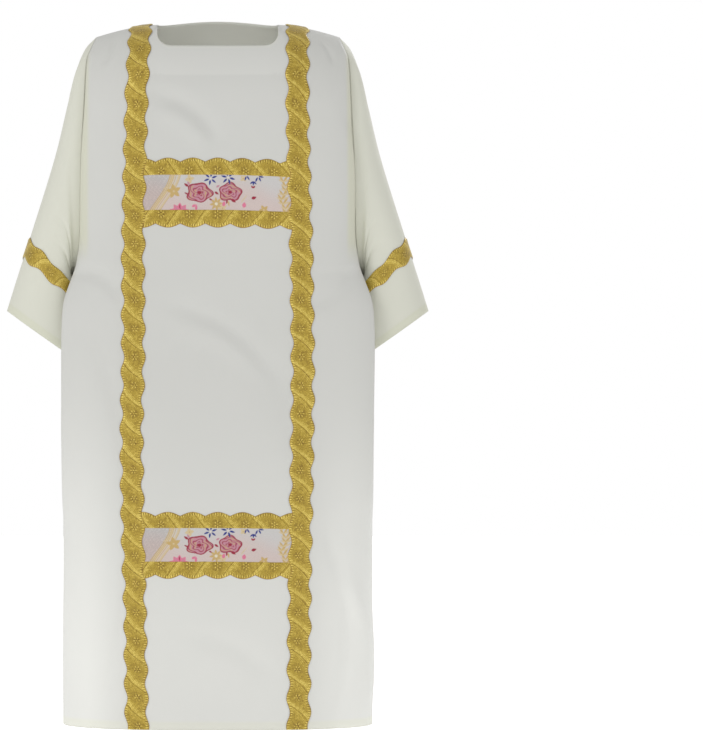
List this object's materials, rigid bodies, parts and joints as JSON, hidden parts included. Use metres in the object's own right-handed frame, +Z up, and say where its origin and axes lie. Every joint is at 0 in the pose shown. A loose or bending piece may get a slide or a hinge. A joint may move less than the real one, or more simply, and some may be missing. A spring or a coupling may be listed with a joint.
{
  "type": "dalmatic, worn open with no wearer",
  "caption": "Ivory dalmatic with a square neck, wide sleeves, gold galloon clavi and floral brocade crossbars, in the hollow form of a worn garment.",
  "frame": {"origin": "middle of the neck opening, level with the top of the shoulder seams, where the wearer's shoulders carry it", "axes": "+Z up, the front faces -Y, +X to the right seen from the front"},
  "size_m": [0.758, 0.3092, 1.265],
  "materials": {
    "ivory_cloth": "smooth matt ivory suiting with a faint sheen",
    "sleeve_cloth": "the same ivory cloth, unbacked and a little warmer",
    "facing_cloth": "plain matt ivory lining",
    "galloon": "gold metallic braid, woven in relief",
    "brocade": "pale brocade with woven flowers"
  },
  "bodies": {
    "root": {"front_panel": "ivory_cloth", "neck_facing_front": "facing_cloth", "front_upper_top_galloon": "galloon", "front_upper_brocade": "brocade", "front_upper_bottom_galloon": "galloon", "front_lower_top_galloon": "galloon", "front_lower_brocade": "brocade", "front_lower_bottom_galloon": "galloon", "back_panel": "ivory_cloth", "neck_facing_back": "facing_cloth", "back_upper_top_galloon": "galloon", "back_upper_brocade": "brocade", "back_upper_bottom_galloon": "galloon", "back_lower_top_galloon": "galloon", "back_lower_brocade": "brocade", "back_lower_bottom_galloon": "galloon", "sleeve_left": "sleeve_cloth", "sleeve_band_left": "galloon", "clavus_left": "galloon", "sleeve_right": "sleeve_cloth", "sleeve_band_right": "galloon", "clavus_right": "galloon"}
  },
  "joints": []
}
